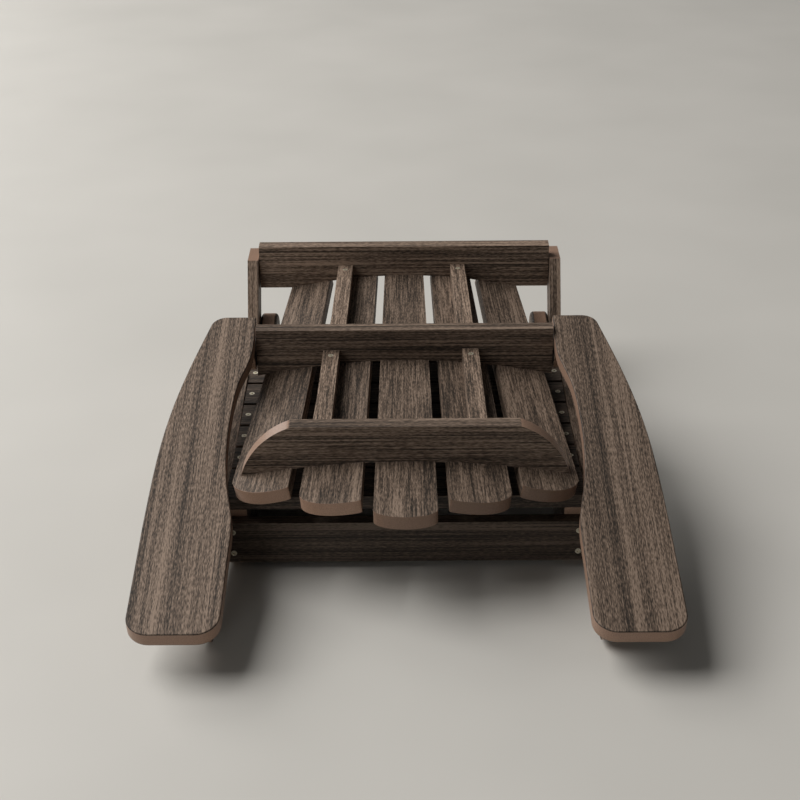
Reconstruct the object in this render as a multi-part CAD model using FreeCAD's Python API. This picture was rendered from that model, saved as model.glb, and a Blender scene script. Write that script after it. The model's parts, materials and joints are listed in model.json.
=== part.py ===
"""Folding lounge chair of plastic lumber, shown folded flat: seat frame, fan back, arms and front legs."""
import FreeCAD, Part
import math
import os

Vec = FreeCAD.Vector

# Boards
BOARD_T = 20.0
STRINGER_T = 30.0
SIDE_T = 19.0
RAIL_T = 24.0
ARM_T = 22.0

# Seat frame, measured from the front face of the apron and from the floor
SEAT_HALF_WIDTH = 260.0
STRINGER_REAR_Y = 704.0
STRINGER_DEPTH = 86.0
STRINGER_NOSE_R = 45.0
STRINGER_NOSE_TOP = 110.0
STRINGER_NOSE_EASE = 6.0
DISH_R = 3500.0
DISH_LOW_Y = 225.0
APRON_BOTTOM = 12.0
APRON_HEIGHT = 66.0
SEAT_FRONT_Y = 15.0
FRONT_SLAT_W = 88.0
SEAT_SLAT_W = 63.0
SEAT_SLAT_GAP = 7.0
SEAT_SLAT_COUNT = 7

# Posts that carry the back hinge
POST_TOP_Y = 660.3
POST_TOP_Z = 216.5
POST_WIDTH_Y = 60.0
POST_SLOPE_DEG = 62.6
POST_BOLT_Z = (26.0, 64.0)

# Hinge of the back, and the places of the other pivots
HINGE_Y = 678.0
HINGE_Z = 193.0
LEG_PIVOT_Y = 147.0
LEG_PIVOT_Z = 58.0
ARM_PIVOT_ON_RAIL = 2.0
HINGE_ON_RAIL = 15.0

# Folding back, built level and then sloped about its hinge
BACK_SLOPE_DEG = 1.5
TOP_CURVE_R = 1250.0
LOW_CURVE_R = 861.0
LOW_CROWN = 6.8
RAIL_RISE = 57.0
LOWER_RAIL_RISE = 62.0
RAIL_BED = 1.0
MIDDLE_RAIL_DIST = 326.0
TOP_RAIL_DIST = 635.0
MIDDLE_RAIL_INSET = 22.5
TOP_RAIL_HALF = 237.0
TOP_RAIL_FLAT_HALF = 163.0
TOP_RAIL_CORNER_SAG = 13.7
RAIL_END_DROP = 22.5
LOWER_RAIL_END_DROP = 15.4
LOWER_RAIL_ARC_HALF = 196.0
SLAT_COUNT = 5
OUTER_SLAT_INSET_LOW = 93.0
OUTER_SLAT_INSET_TOP = 55.5
SLAT_W_LOW = 69.0
SLAT_W_TOP = 89.0
SLAT_TAIL = 19.0
SLAT_TOP_DIST = 790.0
SLAT_TOP_STEP = (0.0, 40.0, 88.0)
SLAT_NOSE_OUTER = (20.0, 30.0, 44.0)
SLAT_NOSE_INNER = (20.0, 6.0, 7.0)
SLAT_NOSE_LOW = (0.5, 0.6, 0.64)
BATTEN_W = 26.0
BATTEN_RISE = 26.0
BATTEN_SINK = 4.0
BATTEN_SCREW_DIST = 19.0
LEFT_BATTEN_OFFSET = ((20.5, 18.0), (24.0, 20.5))
RIGHT_BATTEN_OFFSET = ((11.5, 9.0), (12.0, 7.0))

# Arms, measured along the top face from the rear end
ARM_LENGTH = 668.0
ARM_SLOPE_DEG = 13.4
ARM_REAR_Y = 388.0
ARM_REAR_Z = 229.0
ARM_CORNER_R = 32.0
ARM_REAR_CORNER_R = 26.0
ARM_INNER_SIDE = (0.0, -0.5, 1.5, 9.5, 15.0, 19.5, 22.0, 14.0, 8.0, 3.0, 1.5, 2.0, 3.0)
ARM_INNER_RUN = (0.0, 83.0, 105.0, 140.0, 165.0, 205.0, 280.0, 393.0, 427.0, 455.0, 522.0, 600.0)
ARM_OUTER_SIDE = (66.5, 88.0, 110.0, 120.0, 124.0, 126.0, 126.5)
ARM_OUTER_RUN = (0.0, 95.0, 215.0, 310.0, 405.0, 540.0)
REAR_CLEAT_GAP = 2.5
CLEAT_REAR_SPAN = (-34.0, 34.0)
CLEAT_FRONT_SPAN = (-56.0, 56.0)
CLEAT_TIP_R = 18.0

# Front legs, lying beside the stringers
LEG_HALF_W = 38.0
LEG_TIP_R = 29.0
LEG_FOOT_DIST = 290.0
FOOT_CUT_DEG = 20.0

# Pivot bolts and screws
SIDE_GAP = 1.5
PLAY = 0.1
BOLT_R = 4.0
PIN_PLAY = 0.06
OPEN_PIVOT_PLAY = 0.3
BOLT_HEAD_R = 9.0
BOLT_HEAD_T = 4.5
BOLT_BITE = 42.0
NUT_R = 8.0
NUT_T = 6.5
WASHER_R = 11.0
SCREW_HEAD_R = 4.3
SCREW_HEAD_T = 3.0
SCREW_PROUD = 0.4
SCREW_SHANK_R = 2.1
SCREW_LENGTH = 45.0
SCREW_RECESS_R = 1.9
SCREW_RECESS_T = 2.4
APRON_SCREW_EDGE = 15.5
SCREW_END_DIST = 10.0
CLEAT_SCREW_EDGE = 11.0
CLEAT_SCREW_DEPTH = 8.0
CLEAT_SCREW_LENGTH = 26.0

# Places that follow from the sizes above
STRINGER_INNER = SEAT_HALF_WIDTH - STRINGER_T
LEG_INNER = SEAT_HALF_WIDTH + SIDE_GAP
LEG_OUTER = LEG_INNER + SIDE_T
POST_OUTER = SEAT_HALF_WIDTH + SIDE_T
HINGE_HEAD_SEAT = POST_OUTER - BOLT_HEAD_T - 2 * PLAY
CLEAT_FRONT_FACE = LEG_OUTER + SIDE_GAP
LOWER_RAIL_HALF = SEAT_HALF_WIDTH - SIDE_GAP
MIDDLE_RAIL_HALF = SEAT_HALF_WIDTH - MIDDLE_RAIL_INSET
SLAT_PITCH_LOW = (SEAT_HALF_WIDTH - OUTER_SLAT_INSET_LOW) / (SLAT_COUNT // 2)
SLAT_PITCH_TOP = (SEAT_HALF_WIDTH - OUTER_SLAT_INSET_TOP) / (SLAT_COUNT // 2)
CLEAT_REAR_FACE = MIDDLE_RAIL_HALF + REAR_CLEAT_GAP
HINGE = Vec(0, HINGE_Y, HINGE_Z)
LEG_PIVOT = Vec(0, LEG_PIVOT_Y, LEG_PIVOT_Z)
ARM_SLOPE = math.radians(ARM_SLOPE_DEG)
CIRCLE_PULL = 0.5523


def seat_height(y):
    """Height of the stringers' dished top edge."""
    return STRINGER_DEPTH + DISH_R - math.sqrt(DISH_R ** 2 - (y - DISH_LOW_Y) ** 2)


def polygon_yz(points):
    """Closed outline of straight edges in the side view."""
    corners = [Vec(0, y, z) for y, z in points]
    return Part.Wire(Part.makePolygon(corners + corners[:1]))


def side_board(wire, inner, thickness):
    """Board cut to a side view outline, standing at x = inner on the right."""
    board = Part.Face(wire).extrude(Vec(thickness, 0, 0))
    board.translate(Vec(inner, 0, 0))
    return board


def mirrored(shape):
    """The same piece on the left."""
    return shape.mirror(Vec(0, 0, 0), Vec(1, 0, 0))


def pair(shape):
    """A piece and its mirror image as two separate solids."""
    return Part.makeCompound([mirrored(shape), shape])


def bar_x(radius, start, end, place):
    """Round bar along X."""
    return Part.makeCylinder(radius, end - start, Vec(start, place.y, place.z), Vec(1, 0, 0))


def ring_x(inner, outer, start, end, place):
    """Washer with its axis along X."""
    return bar_x(outer, start, end, place).cut(bar_x(inner, start, end, place))


def hex_nut(start, end, place):
    """Six sided nut on a pivot bolt."""
    corners = []
    for step in range(6):
        angle = math.radians(60 * step)
        corners.append((place.y + NUT_R * math.cos(angle), place.z + NUT_R * math.sin(angle)))
    nut = side_board(polygon_yz(corners), start, end - start)
    return nut.cut(bar_x(BOLT_R, start, end, place))


def pivot_bolt(shank_from, shank_to, head_from, head_to, place):
    """Bolt with a low round head, its axis along X."""
    return bar_x(BOLT_R, shank_from, shank_to, place).fuse(bar_x(BOLT_HEAD_R, head_from, head_to, place))


def screw_hole(place, inward, length=SCREW_LENGTH):
    """Room for a wood screw whose head lies just proud of place and whose point goes along inward."""
    head_at = place - inward * SCREW_PROUD
    head = Part.makeCylinder(SCREW_HEAD_R, SCREW_HEAD_T, head_at, inward)
    return head.fuse(Part.makeCylinder(SCREW_SHANK_R, length, head_at, inward))


def screw(place, inward, length=SCREW_LENGTH):
    """Such a screw, with a driver recess in its head."""
    recess = Part.makeCylinder(SCREW_RECESS_R, SCREW_RECESS_T, place - inward * SCREW_PROUD, inward)
    return screw_hole(place, inward, length).cut(recess)


def drilled(board, holes):
    """Board with each hole cut out of it."""
    for hole in holes:
        board = board.cut(hole)
    return board


# Seat frame
def seat_slat_spans():
    """Front and rear edge of each seat slat, the wide one first."""
    spans = [(SEAT_FRONT_Y, SEAT_FRONT_Y + FRONT_SLAT_W)]
    for _ in range(SEAT_SLAT_COUNT - 1):
        start = spans[-1][1] + SEAT_SLAT_GAP
        spans.append((start, start + SEAT_SLAT_W))
    return spans


def stringer_wire():
    """Side outline of a stringer: dished on top, with a round nose at the rear."""
    rear = STRINGER_REAR_Y
    seat_end = seat_slat_spans()[-1][1]
    front = Vec(0, BOARD_T, seat_height(BOARD_T))
    low = Vec(0, DISH_LOW_Y, seat_height(DISH_LOW_Y))
    seat_rear = Vec(0, seat_end, seat_height(seat_end))
    shoulder = Vec(0, rear - STRINGER_NOSE_R, STRINGER_NOSE_TOP)
    turn = STRINGER_NOSE_R * math.sqrt(0.5)
    nose_mid = shoulder + Vec(0, turn, turn - STRINGER_NOSE_R)
    nose_end = shoulder + Vec(0, STRINGER_NOSE_R, -STRINGER_NOSE_R)
    edges = [
        Part.LineSegment(Vec(0, BOARD_T, 0), front).toShape(),
        Part.Arc(front, low, seat_rear).toShape(),
        Part.LineSegment(seat_rear, shoulder).toShape(),
        Part.Arc(shoulder, nose_mid, nose_end).toShape(),
        Part.LineSegment(nose_end, Vec(0, rear, 0)).toShape(),
        Part.LineSegment(Vec(0, rear, 0), Vec(0, BOARD_T, 0)).toShape(),
    ]
    return Part.Wire(edges)


def nose_edges(stringer):
    """Long edges of a stringer's round nose."""
    start = STRINGER_REAR_Y - STRINGER_NOSE_R - BOARD_T / 1000
    low = STRINGER_NOSE_TOP - STRINGER_NOSE_R - BOARD_T / 1000
    found = []
    for edge in stringer.Edges:
        box = edge.BoundBox
        if box.YMin > start and box.ZMin > low and box.XLength < BOARD_T / 1000:
            found.append(edge)
    return found


def seat_slat(span):
    """Flat slat laid across the dished stringers."""
    front, rear = span
    foot_front = seat_height(front)
    foot_rear = seat_height(rear)
    slope = math.atan2(foot_rear - foot_front, rear - front)
    lift = Vec(0, -math.sin(slope) * BOARD_T, math.cos(slope) * BOARD_T)
    corners = [
        (front, foot_front),
        (rear, foot_rear),
        (rear + lift.y, foot_rear + lift.z),
        (front + lift.y, foot_front + lift.z),
    ]
    return side_board(polygon_yz(corners), -SEAT_HALF_WIDTH, 2 * SEAT_HALF_WIDTH)


def seat_screw_places():
    """Screw places on the right: the middle of each slat, over the stringer."""
    places = []
    for front, rear in seat_slat_spans():
        slope = math.atan2(seat_height(rear) - seat_height(front), rear - front)
        inward = Vec(0, math.sin(slope), -math.cos(slope))
        height = (seat_height(front) + seat_height(rear)) / 2
        foot = Vec(SEAT_HALF_WIDTH - SCREW_END_DIST, (front + rear) / 2, height)
        places.append((foot - inward * BOARD_T, inward))
    return places


def apron_screw_places():
    """Two screws at the right end of the apron."""
    heights = (APRON_BOTTOM + APRON_SCREW_EDGE, APRON_BOTTOM + APRON_HEIGHT - APRON_SCREW_EDGE)
    return [(Vec(SEAT_HALF_WIDTH - SCREW_END_DIST, 0, z), Vec(0, 1, 0)) for z in heights]


def post_lean(z):
    """How far a post's front edge lies ahead of its top at height z."""
    return (POST_TOP_Z - z) / math.tan(math.radians(POST_SLOPE_DEG))


def post_bolt_places():
    """Bolts that fix the right post to its stringer."""
    middle = POST_TOP_Y + POST_WIDTH_Y / 2
    return [Vec(0, middle - post_lean(z), z) for z in POST_BOLT_Z]


def post_board():
    """Leaning post outside the right stringer, cut level at both ends."""
    foot = POST_TOP_Y - post_lean(0)
    corners = [
        (foot, 0),
        (foot + POST_WIDTH_Y, 0),
        (POST_TOP_Y + POST_WIDTH_Y, POST_TOP_Z),
        (POST_TOP_Y, POST_TOP_Z),
    ]
    post = side_board(polygon_yz(corners), SEAT_HALF_WIDTH, SIDE_T)
    post = post.cut(bar_x(BOLT_R + PIN_PLAY, SEAT_HALF_WIDTH, POST_OUTER, HINGE))
    post = post.cut(bar_x(BOLT_HEAD_R + PIN_PLAY, HINGE_HEAD_SEAT, POST_OUTER, HINGE))
    for place in post_bolt_places():
        post = post.cut(bar_x(BOLT_R, SEAT_HALF_WIDTH, POST_OUTER, place))
    return post


def seat_frame():
    """Stringers, apron, seat slats and posts with their fasteners."""
    nodes = {}
    seat_screws = seat_screw_places()
    apron_screws = apron_screw_places()
    stringer = side_board(stringer_wire(), STRINGER_INNER, STRINGER_T)
    stringer = stringer.makeFillet(STRINGER_NOSE_EASE, nose_edges(stringer))
    stringer = drilled(stringer, [screw_hole(*at) for at in seat_screws + apron_screws])
    for place in post_bolt_places() + [LEG_PIVOT]:
        stringer = stringer.cut(bar_x(BOLT_R, STRINGER_INNER, SEAT_HALF_WIDTH, place))
    nodes["right_stringer"] = stringer
    nodes["left_stringer"] = mirrored(stringer)

    apron = Part.makeBox(2 * SEAT_HALF_WIDTH, BOARD_T, APRON_HEIGHT, Vec(-SEAT_HALF_WIDTH, 0, APRON_BOTTOM))
    holes = [screw_hole(*at) for at in apron_screws]
    nodes["front_apron"] = drilled(apron, holes + [mirrored(hole) for hole in holes])
    nodes["apron_screws"] = Part.makeCompound([pair(screw(*at)) for at in apron_screws])

    for number, span in enumerate(seat_slat_spans(), 1):
        hole = screw_hole(*seat_screws[number - 1])
        nodes["seat_slat_%d" % number] = drilled(seat_slat(span), [hole, mirrored(hole)])
    nodes["seat_screws"] = Part.makeCompound([pair(screw(*at)) for at in seat_screws])

    post = post_board()
    nodes["right_post"] = post
    nodes["left_post"] = mirrored(post)
    head_end = POST_OUTER + BOLT_HEAD_T
    nut_start = STRINGER_INNER - NUT_T
    bolts = []
    nuts = []
    for place in post_bolt_places():
        bolts.append(pair(pivot_bolt(nut_start, POST_OUTER, POST_OUTER, head_end, place)))
        nuts.append(pair(hex_nut(nut_start, STRINGER_INNER, place)))
    nodes["post_bolts"] = Part.makeCompound(bolts)
    nodes["post_nuts"] = Part.makeCompound(nuts)

    head_start = LEG_OUTER + PLAY
    bolt = pivot_bolt(nut_start, head_start, head_start, head_start + BOLT_HEAD_T, LEG_PIVOT)
    nodes["leg_pivot_bolts"] = pair(bolt)
    nodes["leg_pivot_nuts"] = pair(hex_nut(nut_start, STRINGER_INNER, LEG_PIVOT))
    washer = ring_x(BOLT_R, WASHER_R, SEAT_HALF_WIDTH, LEG_INNER - PLAY, LEG_PIVOT)
    nodes["leg_pivot_washers"] = pair(washer)
    return nodes


# Folding back, in a level frame: y = 0 at the lower rail, z = 0 on the middle slat's upper face
def curve_drop(x, radius):
    """How far a curve lies below its middle at x."""
    return radius - math.sqrt(radius ** 2 - x ** 2)


def face_height(x, dist):
    """Height of the slats' upper face, which is rounder towards the lower rail."""
    low = LOW_CROWN - curve_drop(x, LOW_CURVE_R)
    top = -curve_drop(x, TOP_CURVE_R)
    return low + (top - low) * dist / TOP_RAIL_DIST


def nose_curve(start, lean, end, pull):
    """Quarter round from start, which leaves along lean, to end, which arrives along pull."""
    curve = Part.BezierCurve()
    curve.setPoles([start, start + lean * CIRCLE_PULL, end - pull * CIRCLE_PULL, end])
    return curve.toShape()


def slat_axes(step):
    """Start at the lower rail, run to the top rail and upper face of a slat, counted from the middle one."""
    low_x = step * SLAT_PITCH_LOW
    top_x = step * SLAT_PITCH_TOP
    low = Vec(low_x, 0, face_height(low_x, 0))
    top = Vec(top_x, -TOP_RAIL_DIST, face_height(top_x, TOP_RAIL_DIST))
    lean = Vec(1, 0, -(low_x / LOW_CURVE_R + top_x / TOP_CURVE_R) / 2)
    face = lean.cross(top - low).normalize()
    return low, top - low, face if face.z > 0 else face * -1


def back_slat(index):
    """Tapered slat of the fan, laid along the curve, with a round nose at its upper end."""
    step = abs(index)
    low, run_to_top, face = slat_axes(step)
    along = Vec(run_to_top).normalize()
    across = face.cross(along).normalize()
    length = SLAT_TOP_DIST - SLAT_TOP_STEP[step]
    grow = (SLAT_W_TOP - SLAT_W_LOW) / SLAT_TOP_DIST

    def half(run):
        return (SLAT_W_LOW + grow * run) / 2

    def at(run, sideways):
        return low + along * run + across * sideways

    outer_run = length - SLAT_NOSE_OUTER[step]
    inner_run = length - SLAT_NOSE_INNER[step]
    tail_outer = at(-SLAT_TAIL, half(-SLAT_TAIL))
    tail_inner = at(-SLAT_TAIL, -half(-SLAT_TAIL))
    outer = at(outer_run, half(outer_run))
    inner = at(inner_run, -half(inner_run))
    tip_side = half(length) * (1 - 2 * SLAT_NOSE_LOW[step])
    tip = at(length, tip_side)
    edges = [
        Part.LineSegment(tail_inner, tail_outer).toShape(),
        Part.LineSegment(tail_outer, outer).toShape(),
        nose_curve(outer, along * SLAT_NOSE_OUTER[step], tip, across * (tip_side - half(length))),
        nose_curve(tip, across * (-half(length) - tip_side), inner, along * -SLAT_NOSE_INNER[step]),
        Part.LineSegment(inner, tail_inner).toShape(),
    ]
    slat = Part.Face(Part.Wire(edges)).extrude(face * -BOARD_T)
    return slat if index >= 0 else mirrored(slat)


def rail_board(half, rise, end_drop, arc_half, flat_half, dist):
    """Cross rail on edge; its lower edge follows the curve, flat_half below half rounds its upper corners."""
    rear = -dist + RAIL_T / 2
    bed = -RAIL_BED

    def at(x, z):
        return Vec(x, rear, z)

    low = -end_drop + bed
    edges = []
    corner_left = at(-half, low)
    corner_right = at(half, low)
    if flat_half < half:
        left_top = at(-flat_half, rise)
        right_top = at(flat_half, rise)
        chord = corner_right - right_top
        bulge = Vec(-chord.z, 0, chord.x).normalize() * TOP_RAIL_CORNER_SAG
        right_mid = (right_top + corner_right) * 0.5 + bulge
        left_mid = Vec(-right_mid.x, right_mid.y, right_mid.z)
        edges.append(Part.Arc(corner_left, left_mid, left_top).toShape())
        edges.append(Part.LineSegment(left_top, right_top).toShape())
        edges.append(Part.Arc(right_top, right_mid, corner_right).toShape())
    else:
        left_top = at(-half, rise)
        right_top = at(half, rise)
        edges.append(Part.LineSegment(corner_left, left_top).toShape())
        edges.append(Part.LineSegment(left_top, right_top).toShape())
        edges.append(Part.LineSegment(right_top, corner_right).toShape())
    arc_right = at(arc_half, low)
    arc_left = at(-arc_half, low)
    if arc_half < half:
        edges.append(Part.LineSegment(corner_right, arc_right).toShape())
        edges.append(Part.LineSegment(arc_left, corner_left).toShape())
    edges.append(Part.Arc(arc_right, at(0, face_height(0, dist) + bed), arc_left).toShape())
    edges = Part.__sortEdges__(edges)
    return Part.Face(Part.Wire(edges)).extrude(Vec(0, -RAIL_T, 0))


def batten_line(offsets, from_dist, to_dist):
    """Ends of a batten's middle line, offset outwards from the middle of the slat next to the middle one."""
    ends = []
    for offset, dist in zip(offsets, (from_dist, to_dist)):
        share = dist / TOP_RAIL_DIST
        x = SLAT_PITCH_LOW + (SLAT_PITCH_TOP - SLAT_PITCH_LOW) * share + offset
        ends.append(Vec(x, -dist, face_height(x, dist)))
    inset = (ends[1] - ends[0]) * (RAIL_T / 2 / (to_dist - from_dist))
    return ends[0] + inset, ends[1] - inset


def batten_bar(start, end):
    """Square bar on a slat between two rails."""
    side = Vec(BATTEN_W / 2, 0, 0)
    corners = [start - side, start + side, end + side, end - side]
    face = Part.Face(Part.Wire(Part.makePolygon(corners + corners[:1])))
    face.translate(Vec(0, 0, -BATTEN_SINK))
    return face.extrude(Vec(0, 0, BATTEN_RISE + BATTEN_SINK))


def folding_back():
    """Slats, rails and battens with their screws and the pivot bolts in the rail ends."""
    indices = range(-(SLAT_COUNT // 2), SLAT_COUNT // 2 + 1)
    slats = {index: back_slat(index) for index in indices}
    rails = {
        "lower_back_rail": rail_board(
            LOWER_RAIL_HALF, LOWER_RAIL_RISE, LOWER_RAIL_END_DROP, LOWER_RAIL_ARC_HALF, LOWER_RAIL_HALF, 0
        ),
        "middle_back_rail": rail_board(
            MIDDLE_RAIL_HALF, RAIL_RISE, RAIL_END_DROP, MIDDLE_RAIL_HALF, MIDDLE_RAIL_HALF, MIDDLE_RAIL_DIST
        ),
        "top_back_rail": rail_board(
            TOP_RAIL_HALF, RAIL_RISE, RAIL_END_DROP, TOP_RAIL_HALF, TOP_RAIL_FLAT_HALF, TOP_RAIL_DIST
        ),
    }
    rails = {name: drilled(rail, slats.values()) for name, rail in rails.items()}

    battens = {}
    batten_screws = []
    spans = (("lower", 0.0, MIDDLE_RAIL_DIST), ("upper", MIDDLE_RAIL_DIST, TOP_RAIL_DIST))
    for side, index, offsets in (("left", -1, LEFT_BATTEN_OFFSET), ("right", 1, RIGHT_BATTEN_OFFSET)):
        for (level, from_dist, to_dist), shift in zip(spans, offsets):
            start, end = batten_line(shift, from_dist, to_dist)
            share = BATTEN_SCREW_DIST / (start.y - end.y)
            fixing = (start + (end - start) * share + Vec(0, 0, BATTEN_RISE), Vec(0, 0, -1))
            made = [batten_bar(start, end), screw_hole(*fixing), screw(*fixing)]
            batten, hole, fastener = made if index > 0 else [mirrored(shape) for shape in made]
            bars = batten.cut(slats[index]).cut(hole).Solids
            battens["%s_%s_batten" % (side, level)] = max(bars, key=lambda bar: bar.Volume)
            batten_screws.append(fastener)
            slats[index] = slats[index].cut(hole)

    slat_screws = []
    dists = dict(zip(rails, (0.0, MIDDLE_RAIL_DIST, TOP_RAIL_DIST)))
    for index in indices:
        for name, dist in dists.items():
            low, run_to_top, face = slat_axes(abs(index))
            fixing = (low + run_to_top * (dist / TOP_RAIL_DIST) - face * BOARD_T, face)
            made = [screw_hole(*fixing), screw(*fixing)]
            hole, fastener = made if index >= 0 else [mirrored(shape) for shape in made]
            slat_screws.append(fastener)
            slats[index] = slats[index].cut(hole)
            rails[name] = rails[name].cut(hole)

    nodes = {"back_slat_%d" % number: slats[index] for number, index in enumerate(indices, 1)}
    nodes.update(rails)
    nodes.update(battens)
    nodes["batten_screws"] = Part.makeCompound(batten_screws)
    nodes["back_slat_screws"] = Part.makeCompound(slat_screws)
    for shape in nodes.values():
        shape.translate(HINGE - Vec(0, 0, HINGE_ON_RAIL))
        shape.rotate(HINGE, Vec(1, 0, 0), BACK_SLOPE_DEG)

    hinge_bite = LOWER_RAIL_HALF - BOLT_BITE
    bite_hole = bar_x(BOLT_R, hinge_bite, LOWER_RAIL_HALF, HINGE)
    nodes["lower_back_rail"] = drilled(nodes["lower_back_rail"], [bite_hole, mirrored(bite_hole)])
    head = HINGE_HEAD_SEAT + PLAY
    nodes["back_hinge_bolts"] = pair(pivot_bolt(hinge_bite, head, head, head + BOLT_HEAD_T, HINGE))
    nodes["back_hinge_washers"] = pair(
        ring_x(BOLT_R, WASHER_R, LOWER_RAIL_HALF, SEAT_HALF_WIDTH - PLAY, HINGE)
    )

    arm_bite = MIDDLE_RAIL_HALF - BOLT_BITE
    bite_hole = bar_x(BOLT_R, arm_bite, MIDDLE_RAIL_HALF, ARM_PIVOT)
    nodes["middle_back_rail"] = drilled(nodes["middle_back_rail"], [bite_hole, mirrored(bite_hole)])
    head = CLEAT_REAR_FACE + SIDE_T + PLAY
    nodes["arm_rear_bolts"] = pair(pivot_bolt(arm_bite, head, head, head + BOLT_HEAD_T, ARM_PIVOT))
    nodes["arm_rear_washers"] = pair(
        ring_x(BOLT_R, WASHER_R, MIDDLE_RAIL_HALF, CLEAT_REAR_FACE - PLAY, ARM_PIVOT)
    )
    return nodes


def arm_pivot_place():
    """Pivot of the arms on the middle rail's ends, after the back is sloped."""
    slope = math.radians(BACK_SLOPE_DEG)
    run = -MIDDLE_RAIL_DIST
    rise = ARM_PIVOT_ON_RAIL - HINGE_ON_RAIL
    back = run * math.cos(slope) - rise * math.sin(slope)
    up = run * math.sin(slope) + rise * math.cos(slope)
    return HINGE + Vec(0, back, up)


ARM_PIVOT = arm_pivot_place()
FRONT_PIVOT = LEG_PIVOT + ARM_PIVOT - HINGE


# Front legs
def leg_board():
    """Right leg: a foot cut for the open chair, a round upper end about the arm pivot."""
    reach = FRONT_PIVOT - LEG_PIVOT
    along = Vec(reach).normalize()
    up = Vec(0, along.z, -along.y)

    def at(run, rise):
        return LEG_PIVOT + along * run + up * rise

    skew = LEG_HALF_W * math.tan(math.radians(FOOT_CUT_DEG))
    narrow = math.asin((LEG_HALF_W - LEG_TIP_R) / reach.Length)
    tip_run = reach.Length + LEG_TIP_R * math.sin(narrow)
    tip_rise = LEG_TIP_R * math.cos(narrow)
    shoulder_run = LEG_HALF_W * math.sin(narrow)
    foot_top = at(-LEG_FOOT_DIST + skew, LEG_HALF_W)
    foot_low = at(-LEG_FOOT_DIST - skew, -LEG_HALF_W)
    edges = [
        Part.LineSegment(foot_low, foot_top).toShape(),
        Part.LineSegment(foot_top, at(shoulder_run, LEG_HALF_W)).toShape(),
        Part.LineSegment(at(shoulder_run, LEG_HALF_W), at(tip_run, tip_rise)).toShape(),
        Part.Arc(at(tip_run, tip_rise), at(reach.Length + LEG_TIP_R, 0), at(tip_run, -tip_rise)).toShape(),
        Part.LineSegment(at(tip_run, -tip_rise), at(shoulder_run, -LEG_HALF_W)).toShape(),
        Part.LineSegment(at(shoulder_run, -LEG_HALF_W), foot_low).toShape(),
    ]
    leg = side_board(Part.Wire(edges), LEG_INNER, SIDE_T)
    leg = leg.cut(bar_x(BOLT_R + PIN_PLAY, LEG_INNER, LEG_OUTER, LEG_PIVOT))
    return leg.cut(bar_x(BOLT_R, LEG_INNER, LEG_OUTER, FRONT_PIVOT))


def front_legs():
    """Legs with the bolts that carry the arms' front cleats."""
    nodes = {}
    cleat_outer = CLEAT_FRONT_FACE + SIDE_T
    nut_start = cleat_outer + PLAY
    pieces = {
        "front_leg": leg_board(),
        "arm_front_bolt": pivot_bolt(
            LEG_INNER, nut_start + NUT_T, LEG_INNER - BOLT_HEAD_T, LEG_INNER, FRONT_PIVOT
        ),
        "arm_front_washer": ring_x(BOLT_R, WASHER_R, LEG_OUTER, CLEAT_FRONT_FACE - PLAY, FRONT_PIVOT),
        "arm_front_nut": hex_nut(nut_start, nut_start + NUT_T, FRONT_PIVOT),
    }
    for name, shape in pieces.items():
        nodes["right_" + name] = shape
        nodes["left_" + name] = mirrored(shape)
    return nodes


# Arms
def arm_top(y):
    """Height of an arm's top face at y."""
    return ARM_REAR_Z - (ARM_REAR_Y - y) * math.tan(ARM_SLOPE)


def upright_edges(board):
    """Corner edges of a board that lies flat."""
    flat = BOARD_T / 1000
    found = []
    for edge in board.Edges:
        run = edge.Vertexes[-1].Point - edge.Vertexes[0].Point
        if abs(run.x) + abs(run.y) < flat < abs(run.z):
            found.append(edge)
    return found


def arm_board():
    """Right arm: waisted on the inside to clear the back, broad and rounded at the front."""

    def spline(runs, sides):
        curve = Part.BSplineCurve()
        curve.interpolate([Vec(CLEAT_REAR_FACE + x, -run, 0) for run, x in zip(runs + (ARM_LENGTH,), sides)])
        return curve.toShape()

    inner = spline(ARM_INNER_RUN, ARM_INNER_SIDE)
    outer = spline(ARM_OUTER_RUN, ARM_OUTER_SIDE)
    rear = Part.LineSegment(inner.Vertexes[0].Point, outer.Vertexes[0].Point).toShape()
    front = Part.LineSegment(inner.Vertexes[1].Point, outer.Vertexes[1].Point).toShape()
    wire = Part.Wire(Part.__sortEdges__([inner, front, outer, rear]))
    board = Part.Face(wire).extrude(Vec(0, 0, -ARM_T))
    corners = upright_edges(board)
    front_corners = [edge for edge in corners if edge.Vertexes[0].Y < -ARM_LENGTH / 2]
    board = board.makeFillet(ARM_CORNER_R, front_corners)
    corners = [edge for edge in upright_edges(board) if edge.Vertexes[0].Y > -ARM_REAR_CORNER_R / 2]
    outermost = max(corners, key=lambda edge: edge.Vertexes[0].X)
    board = board.makeFillet(ARM_REAR_CORNER_R, [outermost])
    board.rotate(Vec(0, 0, 0), Vec(1, 0, 0), ARM_SLOPE_DEG)
    board.translate(Vec(0, ARM_REAR_Y, ARM_REAR_Z))
    return board


def cleat_board(pivot, span, inner):
    """Cleat under the right arm: its upper edge meets the arm, its round lower end holds the pivot."""
    under = ARM_T / math.cos(ARM_SLOPE)

    def arm_under(y):
        return arm_top(y) - under

    front_y, rear_y = pivot.y + span[0], pivot.y + span[1]
    front = Vec(0, front_y, arm_under(front_y))
    rear = Vec(0, rear_y, arm_under(rear_y))
    tip_front = pivot - Vec(0, CLEAT_TIP_R, 0)
    tip_rear = pivot + Vec(0, CLEAT_TIP_R, 0)
    edges = [
        Part.LineSegment(front, rear).toShape(),
        Part.LineSegment(rear, tip_rear).toShape(),
        Part.Arc(tip_rear, pivot - Vec(0, 0, CLEAT_TIP_R), tip_front).toShape(),
        Part.LineSegment(tip_front, front).toShape(),
    ]
    return side_board(Part.Wire(edges), inner, SIDE_T)


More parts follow.
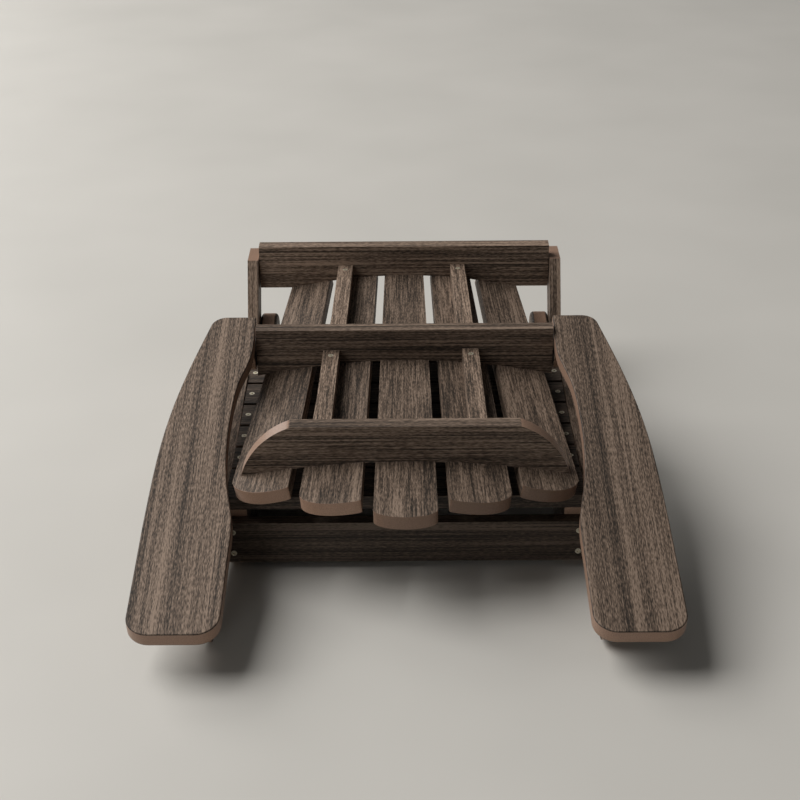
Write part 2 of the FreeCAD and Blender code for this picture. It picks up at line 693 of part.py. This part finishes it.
def cleat_screw_places(pivot, span, inner):
    """Two screws from below through a cleat's shoulders into the arm."""
    up = Vec(0, -math.sin(ARM_SLOPE), math.cos(ARM_SLOPE))
    places = []
    for end in span:
        y = pivot.y + end - math.copysign(CLEAT_SCREW_EDGE, end)
        top = Vec(inner + SIDE_T / 2, y, arm_top(y))
        places.append((top - up * (ARM_T + CLEAT_SCREW_DEPTH), up, CLEAT_SCREW_LENGTH))
    return places


def counterbore(place, inward, length):
    """Way in for a sunk screw's head."""
    return Part.makeCylinder(SCREW_HEAD_R, length, place - inward * SCREW_PROUD, inward * -1)


def arms():
    """Arms with a rear cleat on the back's middle rail and a front cleat on the leg."""
    pieces = {"arm": arm_board()}
    screws = []
    cleats = (
        ("arm_rear_cleat", ARM_PIVOT, CLEAT_REAR_SPAN, CLEAT_REAR_FACE, OPEN_PIVOT_PLAY),
        ("arm_front_cleat", FRONT_PIVOT, CLEAT_FRONT_SPAN, CLEAT_FRONT_FACE, PIN_PLAY),
    )
    for name, pivot, span, inner, play in cleats:
        fixings = cleat_screw_places(pivot, span, inner)
        cleat = cleat_board(pivot, span, inner).cut(bar_x(BOLT_R + play, inner, inner + SIDE_T, pivot))
        holes = [screw_hole(*fixing) for fixing in fixings]
        pieces[name] = drilled(cleat, holes + [counterbore(*fixing) for fixing in fixings])
        pieces["arm"] = drilled(pieces["arm"], holes)
        screws += [screw(*fixing) for fixing in fixings]
    pieces["arm_screws"] = Part.makeCompound(screws)
    nodes = {}
    for name, shape in pieces.items():
        nodes["right_" + name] = shape
        nodes["left_" + name] = mirrored(shape)
    return nodes


def main():
    """Build every piece, stand the chair on the middle of its footprint and write it out."""
    nodes = {}
    for group in (seat_frame, folding_back, front_legs, arms):
        nodes.update(group())
    whole = Part.makeCompound(list(nodes.values())).BoundBox
    shift = Vec(0, -(whole.YMin + whole.YMax) / 2, -whole.ZMin)
    os.makedirs("parts", exist_ok=True)
    for name, shape in nodes.items():
        shape.translate(shift)
        shape.exportStep("parts/%s.step" % name)
    print("pieces", len(nodes), "size", [round(v, 2) for v in (whole.XLength, whole.YLength, whole.ZLength)])
    pivots = {"back": HINGE, "leg": LEG_PIVOT, "arm_rear": ARM_PIVOT, "arm_front": FRONT_PIVOT}
    for name, place in pivots.items():
        moved = place + shift
        print("pivot", name, round(moved.y, 4), round(moved.z, 4))
    print("shift", round(shift.y, 4), round(shift.z, 4))


main()
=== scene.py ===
import json
import math
import bpy
from mathutils import Matrix, Vector

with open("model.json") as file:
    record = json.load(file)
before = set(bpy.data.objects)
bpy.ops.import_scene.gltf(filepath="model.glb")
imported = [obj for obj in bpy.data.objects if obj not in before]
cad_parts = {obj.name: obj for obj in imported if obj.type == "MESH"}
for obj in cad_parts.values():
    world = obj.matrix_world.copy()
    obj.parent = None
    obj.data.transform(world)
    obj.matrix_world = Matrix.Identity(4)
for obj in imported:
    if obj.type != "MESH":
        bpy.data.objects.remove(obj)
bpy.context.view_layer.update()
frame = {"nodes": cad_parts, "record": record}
nodes = frame["nodes"]

# Photo's camera
PHOTO_SIZE = 800
FOCAL_PX = 1514.0
SENSOR_MM = 36.0
CAMERA_PLACE = (0.0, -2.0820, 1.237)
CAMERA_PITCH_DEG = 27.4
CAMERA_YAW_DEG = 0.21
CAMERA_ROLL_DEG = -0.5

# Eased edges of the boards
EDGE_ROUND = 0.0016
ARM_EDGE_ROUND = 0.0022
EDGE_STEPS = 2
EDGE_ANGLE_DEG = 32.0
WELD_DIST = 0.00001
FLAT_ANGLE_DEG = 0.4
SHADING_WEIGHT = 100

# How the boards lie
ARM_SLOPE = math.radians(13.4)
POST_SLOPE = math.radians(62.6)
MIDDLE_SLAT = 3
SLAT_FAN = 0.0315
SLAT_LEAN = 0.088
BATTEN_FAN = 0.022

# Wood-grain skin and the paler core that a cut lays open
SKIN_DARK = (0.026, 0.019, 0.014)
SKIN_MID = (0.120, 0.084, 0.061)
SKIN_LIGHT = (0.275, 0.202, 0.152)
SKIN_STOPS = (0.41, 0.50, 0.59)
SKIN_ROUGH = ((0.30, 0.66), (0.70, 0.52))
SKIN_SPECULAR = 0.30
SKIN_BUMP = 0.35
SKIN_BUMP_DEPTH = 0.0006
CORE = (0.335, 0.214, 0.152)
CORE_SPECKS = ((0.30, 0.72), (0.70, 1.0))
CORE_ROUGH = (0.40, 0.40, 0.40)

# Where the core shows: on ends across the grain, or on cut sides below a dark lip
END_BARE = ((0.07, 0.0), (0.22, 1.0))
SIDE_BARE = ((0.15, 1.0), (0.33, 0.0))
SIDE_LIP = ((0.75, 0.42), (0.99, 1.0))

# Grain: how often it changes along and across a board, per metre, its detail and its seed
SPECK_GRAIN = (120.0, 720.0, 1.0, 0.0)
STREAK_GRAIN = (3.2, 400.0, 3.0, 3.1)
BAND_GRAIN = (0.6, 46.0, 1.0, 7.7)
GRAIN_ROUGHNESS = 0.6
SEED_STEP = 1.7
BOARD_SPECKS = 0.32
ARM_SPECKS = 0.40
BOARD_BANDS = 0.24
RAIL_BANDS = 0.12

# How much paler or darker some boards are: seat slats and front apron darker as painted shade, left arm
# paler and right arm darker as painted light falling from the left, lower back rail paler as painted
# light on its front; battens and posts paler boards
BOARD_TONE_AND_PAINTED_LIGHT = (
    ("batten", 1.4), ("post", 1.4), ("lower_back_rail", 1.45), ("seat_slat", 0.42),
    ("front_apron", 0.46), ("left_arm", 1.13), ("right_arm", 0.96),
)
# Cut faces: back slat ends paler to the left and darker to the right as painted light falling from the
# left; stringer ends paler as painted light on their rear noses
CORE_TONE_AND_PAINTED_LIGHT = (
    ("back_slat_1", 1.3), ("back_slat_2", 1.2), ("back_slat_3", 0.72),
    ("back_slat_4", 0.56), ("back_slat_5", 0.5), ("stringer", 1.3),
)

# Fasteners
SCREW_COLOUR = (0.95, 0.89, 0.74)
SCREW_ROUGH = 0.48
ZINC_COLOUR = (0.55, 0.55, 0.53)
ZINC_ROUGH = 0.34
METAL_MOTTLE = (900.0, 3.0)
METAL_STOPS = (0.35, 0.6)
METAL_DULL = 0.6
METAL_ROUGH_STOPS = (0.3, 0.7)
METAL_ROUGH_SPREAD = 0.15
NYLON_MOTTLE = (500.0, 2.0)
NYLON_COLOURS = ((0.3, (0.010, 0.010, 0.010)), (0.7, (0.022, 0.021, 0.020)))
NYLON_ROUGH = ((0.3, 0.55), (0.7, 0.42))

# Floor and light
FLOOR_SIZE = 40.0
FLOOR_MOTTLE = (2.5, 2.0)
FLOOR_COLOURS = ((0.3, (0.60, 0.583, 0.545)), (0.7, (0.64, 0.621, 0.582)))
FLOOR_ROUGH = 0.55
ROOM_COLOUR = (1.0, 0.985, 0.955)
SKY_COLOUR = (1.0, 0.985, 0.965)
ROOM_GLOW = 0.07
# Name, place, target, size, watts and colour
LIGHTS = (
    ("window", (-7.0, 7.5, 6.0), (0, 0, 0.1), 4.0, 330.0, ROOM_COLOUR),
    ("skylight", (-5.7, 1.0, 6.5), (0, 0, 0), 6.6, 770.0, SKY_COLOUR),
    ("room", (-2.2, -6.4, 1.35), (0, 0, 0.1), 2.0, 42.0, ROOM_COLOUR),
    ("wall", (-5.6, 11.2, 2.4), (0, 0, 0.2), 3.6, 110.0, ROOM_COLOUR),
)


def new_material(name):
    """Node material with its shader."""
    material = bpy.data.materials.new(name)
    material.use_nodes = True
    tree = material.node_tree
    shader = next(node for node in tree.nodes if node.type == "BSDF_PRINCIPLED")
    return material, tree, shader


def link(tree, source, socket):
    """Join an output to an input."""
    tree.links.new(source, socket)


def math_node(tree, operation, *values):
    """Math node fed by sockets or plain numbers."""
    node = tree.nodes.new("ShaderNodeMath")
    node.operation = operation
    for socket, value in zip(node.inputs, values):
        if isinstance(value, (int, float)):
            socket.default_value = value
        else:
            link(tree, value, socket)
    return node.outputs[0]


def along(tree, source, axis):
    """How far a coordinate goes along an axis."""
    node = tree.nodes.new("ShaderNodeVectorMath")
    node.operation = "DOT_PRODUCT"
    link(tree, source, node.inputs[0])
    node.inputs[1].default_value = axis
    return node.outputs["Value"]


def ramp(tree, source, stops):
    """Colour ramp through (position, grey or colour) stops."""
    node = tree.nodes.new("ShaderNodeValToRGB")
    while len(node.color_ramp.elements) < len(stops):
        node.color_ramp.elements.new(0.5)
    for element, (place, colour) in zip(node.color_ramp.elements, stops):
        element.position = place
        shade = (colour,) * 3 if isinstance(colour, float) else colour
        element.color = (*shade, 1.0)
    link(tree, source, node.inputs[0])
    return node.outputs[0]


def mix_colour(tree, factor, first, second, blend="MIX"):
    """Mix of two colours."""
    node = tree.nodes.new("ShaderNodeMix")
    node.data_type = "RGBA"
    node.blend_type = blend
    for socket, value in ((node.inputs[0], factor), (node.inputs[6], first), (node.inputs[7], second)):
        if isinstance(value, (int, float)):
            socket.default_value = value
        elif isinstance(value, tuple):
            socket.default_value = (*value, 1.0)
        else:
            link(tree, value, socket)
    return node.outputs[2]


def streaks(tree, runs, grain, seed):
    """Noise drawn out along the board."""
    stretch, fine, detail, own_seed = grain
    place = tree.nodes.new("ShaderNodeCombineXYZ")
    link(tree, math_node(tree, "MULTIPLY_ADD", runs[0], stretch, seed + own_seed), place.inputs[0])
    link(tree, math_node(tree, "MULTIPLY", runs[1], fine), place.inputs[1])
    link(tree, math_node(tree, "MULTIPLY", runs[2], fine), place.inputs[2])
    noise = tree.nodes.new("ShaderNodeTexNoise")
    noise.inputs["Scale"].default_value = 1.0
    noise.inputs["Detail"].default_value = detail
    noise.inputs["Roughness"].default_value = GRAIN_ROUGHNESS
    link(tree, place.outputs[0], noise.inputs["Vector"])
    return noise.outputs[0]


def mottle(tree, scale, detail):
    """Even noise over a piece."""
    coordinates = tree.nodes.new("ShaderNodeTexCoord")
    noise = tree.nodes.new("ShaderNodeTexNoise")
    noise.inputs["Scale"].default_value = scale
    noise.inputs["Detail"].default_value = detail
    link(tree, coordinates.outputs["Object"], noise.inputs["Vector"])
    return noise.outputs[0]


def tone_and_painted_light_of(name, tones_and_painted_light):
    """Factor of the first word that the name holds."""
    return next((tone_and_painted_light for word, tone_and_painted_light in tones_and_painted_light if word in name), 1.0)


def lumber(name, grain, thick, cut_sides, seed, specks, bands):
    """Wood-grain plastic board: streaks along the grain, bare core on its cut faces."""
    material, tree, shader = new_material(name)
    grain = Vector(grain).normalized()
    thick = (Vector(thick) - grain * Vector(thick).dot(grain)).normalized()
    across = grain.cross(thick)
    coordinates = tree.nodes.new("ShaderNodeTexCoord")
    place = coordinates.outputs["Object"]
    normal = coordinates.outputs["Normal"]
    runs = [along(tree, place, axis) for axis in (grain, across, thick)]

    fine = streaks(tree, runs, SPECK_GRAIN, seed)
    middle = streaks(tree, runs, STREAK_GRAIN, seed)
    broad = streaks(tree, runs, BAND_GRAIN, seed)
    mixed = math_node(tree, "MULTIPLY", fine, specks)
    mixed = math_node(tree, "ADD", mixed, math_node(tree, "MULTIPLY", middle, 1.0 - specks - bands))
    mixed = math_node(tree, "ADD", mixed, math_node(tree, "MULTIPLY", broad, bands))
    # Painted light and shade: each board's skin made paler or darker by its own factor
    tone_and_painted_light = tone_and_painted_light_of(name, BOARD_TONE_AND_PAINTED_LIGHT)
    shades = [tuple(tone_and_painted_light * channel for channel in shade) for shade in (SKIN_DARK, SKIN_MID, SKIN_LIGHT)]
    skin = ramp(tree, mixed, tuple(zip(SKIN_STOPS, shades)))

    # Painted light on cut faces: the core made paler or darker per board
    cut = tuple(tone_and_painted_light_of(name, CORE_TONE_AND_PAINTED_LIGHT) * channel for channel in CORE)
    core = mix_colour(tree, 1.0, cut, ramp(tree, fine, CORE_SPECKS), "MULTIPLY")
    if cut_sides:
        face = math_node(tree, "ABSOLUTE", along(tree, normal, thick))
        bare = ramp(tree, face, SIDE_BARE)
        skin = mix_colour(tree, 1.0, skin, ramp(tree, face, SIDE_LIP), "MULTIPLY")
    else:
        end = math_node(tree, "ABSOLUTE", along(tree, normal, grain))
        bare = ramp(tree, end, END_BARE)
    link(tree, mix_colour(tree, bare, skin, core), shader.inputs["Base Color"])
    shader.inputs["Specular IOR Level"].default_value = SKIN_SPECULAR
    rough = ramp(tree, mixed, SKIN_ROUGH)
    link(tree, mix_colour(tree, bare, rough, CORE_ROUGH), shader.inputs["Roughness"])
    bump = tree.nodes.new("ShaderNodeBump")
    bump.inputs["Strength"].default_value = SKIN_BUMP
    bump.inputs["Distance"].default_value = SKIN_BUMP_DEPTH
    link(tree, mixed, bump.inputs["Height"])
    link(tree, bump.outputs[0], shader.inputs["Normal"])
    return material


def metal(name, colour, rough):
    """Plated fastener with a little mottling."""
    material, tree, shader = new_material(name)
    noise = mottle(tree, *METAL_MOTTLE)
    dull = tuple(METAL_DULL * channel for channel in colour)
    colours = tuple(zip(METAL_STOPS, (dull, colour)))
    roughs = tuple(zip(METAL_ROUGH_STOPS, (rough + METAL_ROUGH_SPREAD, rough)))
    link(tree, ramp(tree, noise, colours), shader.inputs["Base Color"])
    link(tree, ramp(tree, noise, roughs), shader.inputs["Roughness"])
    shader.inputs["Metallic"].default_value = 1.0
    return material


def nylon():
    """Black moulded washers."""
    material, tree, shader = new_material("nylon")
    noise = mottle(tree, *NYLON_MOTTLE)
    link(tree, ramp(tree, noise, NYLON_COLOURS), shader.inputs["Base Color"])
    link(tree, ramp(tree, noise, NYLON_ROUGH), shader.inputs["Roughness"])
    return material


def board_axes(name):
    """Grain direction and thin direction of a board."""
    if "back_slat" in name:
        fan = int(name[-1]) - MIDDLE_SLAT
        return (fan * SLAT_FAN, -1.0, 0.0), (fan * SLAT_LEAN, 0.0, 1.0)
    if "batten" in name:
        side = -1.0 if name.startswith("left") else 1.0
        return (side * BATTEN_FAN, -1.0, 0.0), (0.0, 0.0, 1.0)
    if name.endswith("_arm"):
        run, rise = math.cos(ARM_SLOPE), math.sin(ARM_SLOPE)
        return (0.0, run, rise), (0.0, -rise, run)
    if name.endswith("_post"):
        return (0.0, math.cos(POST_SLOPE), math.sin(POST_SLOPE)), (1.0, 0.0, 0.0)
    if "stringer" in name or "leg" in name or "cleat" in name:
        return (0.0, 1.0, 0.0), (1.0, 0.0, 0.0)
    if "seat_slat" in name:
        return (1.0, 0.0, 0.0), (0.0, 0.0, 1.0)
    return (1.0, 0.0, 0.0), (0.0, 1.0, 0.0)


def dress(piece, material):
    """Give a whole piece one material."""
    piece.data.materials.clear()
    piece.data.materials.append(material)


def ease_edges(piece, width, clamp):
    """Rounded edges and clean shading, as modifiers."""
    weld = piece.modifiers.new("weld", "WELD")
    weld.merge_threshold = WELD_DIST
    merge = piece.modifiers.new("merge_flats", "DECIMATE")
    merge.decimate_type = "DISSOLVE"
    merge.angle_limit = math.radians(FLAT_ANGLE_DEG)
    bevel = piece.modifiers.new("ease", "BEVEL")
    bevel.width = width
    bevel.segments = EDGE_STEPS
    bevel.use_clamp_overlap = clamp
    bevel.limit_method = "ANGLE"
    bevel.angle_limit = math.radians(EDGE_ANGLE_DEG)
    shading = piece.modifiers.new("shading", "WEIGHTED_NORMAL")
    shading.weight = SHADING_WEIGHT


# Boards and fasteners
fastener_looks = {
    "brass_screws": metal("screw_plate", SCREW_COLOUR, SCREW_ROUGH),
    "steel": metal("zinc_plate", ZINC_COLOUR, ZINC_ROUGH),
    "nylon": nylon(),
}
slot_of = {part["node"]: part["material_slot"] for part in frame["record"]["subparts"]}
for number, (name, piece) in enumerate(sorted(nodes.items())):
    slot = slot_of[name]
    if slot in fastener_looks:
        dress(piece, fastener_looks[slot])
        continue
    is_arm = name.endswith("_arm")
    grain, thick = board_axes(name)
    cut_sides = is_arm or "stringer" in name or "cleat" in name
    specks = ARM_SPECKS if is_arm else BOARD_SPECKS
    bands = RAIL_BANDS if "rail" in name else BOARD_BANDS
    dress(piece, lumber("lumber_" + name, grain, thick, cut_sides, SEED_STEP * number, specks, bands))
    if is_arm:
        ease_edges(piece, ARM_EDGE_ROUND, False)
    else:
        ease_edges(piece, EDGE_ROUND, True)


def plain_floor():
    """Pale matt floor with a faint mottling."""
    bpy.ops.mesh.primitive_plane_add(size=FLOOR_SIZE, location=(0, 0, 0))
    floor = bpy.context.active_object
    floor.name = "floor"
    material, tree, shader = new_material("pale_floor")
    noise = mottle(tree, *FLOOR_MOTTLE)
    link(tree, ramp(tree, noise, FLOOR_COLOURS), shader.inputs["Base Color"])
    shader.inputs["Roughness"].default_value = FLOOR_ROUGH
    floor.data.materials.append(material)


def area_light(name, place, target, size, watts, colour):
    """Soft square light aimed at a point."""
    light = bpy.data.lights.new(name, "AREA")
    light.shape = "SQUARE"
    light.size = size
    light.energy = watts
    light.color = colour
    lamp = bpy.data.objects.new(name, light)
    bpy.context.scene.collection.objects.link(lamp)
    lamp.location = place
    aim = Vector(target) - Vector(place)
    lamp.rotation_euler = aim.to_track_quat("-Z", "Y").to_euler()


# Floor and light
plain_floor()
for light_values in LIGHTS:
    area_light(*light_values)
world = bpy.data.worlds.new("room")
bpy.context.scene.world = world
world.use_nodes = True
background = world.node_tree.nodes["Background"]
background.inputs["Color"].default_value = (*ROOM_COLOUR, 1.0)
background.inputs["Strength"].default_value = ROOM_GLOW

# Camera
camera_data = bpy.data.cameras.new("photo_camera")
camera_data.sensor_width = SENSOR_MM
camera_data.lens = FOCAL_PX / PHOTO_SIZE * SENSOR_MM
camera = bpy.data.objects.new("photo_camera", camera_data)
bpy.context.scene.collection.objects.link(camera)
camera.location = CAMERA_PLACE
tilt = Matrix.Rotation(math.radians(90.0 - CAMERA_PITCH_DEG), 4, "X")
yaw = Matrix.Rotation(math.radians(CAMERA_YAW_DEG), 4, "Z")
roll = Matrix.Rotation(math.radians(CAMERA_ROLL_DEG), 4, "Z")
camera.rotation_euler = (yaw @ tilt @ roll).to_euler()
bpy.context.scene.camera = camera
bpy.context.scene.view_settings.view_transform = "Standard"
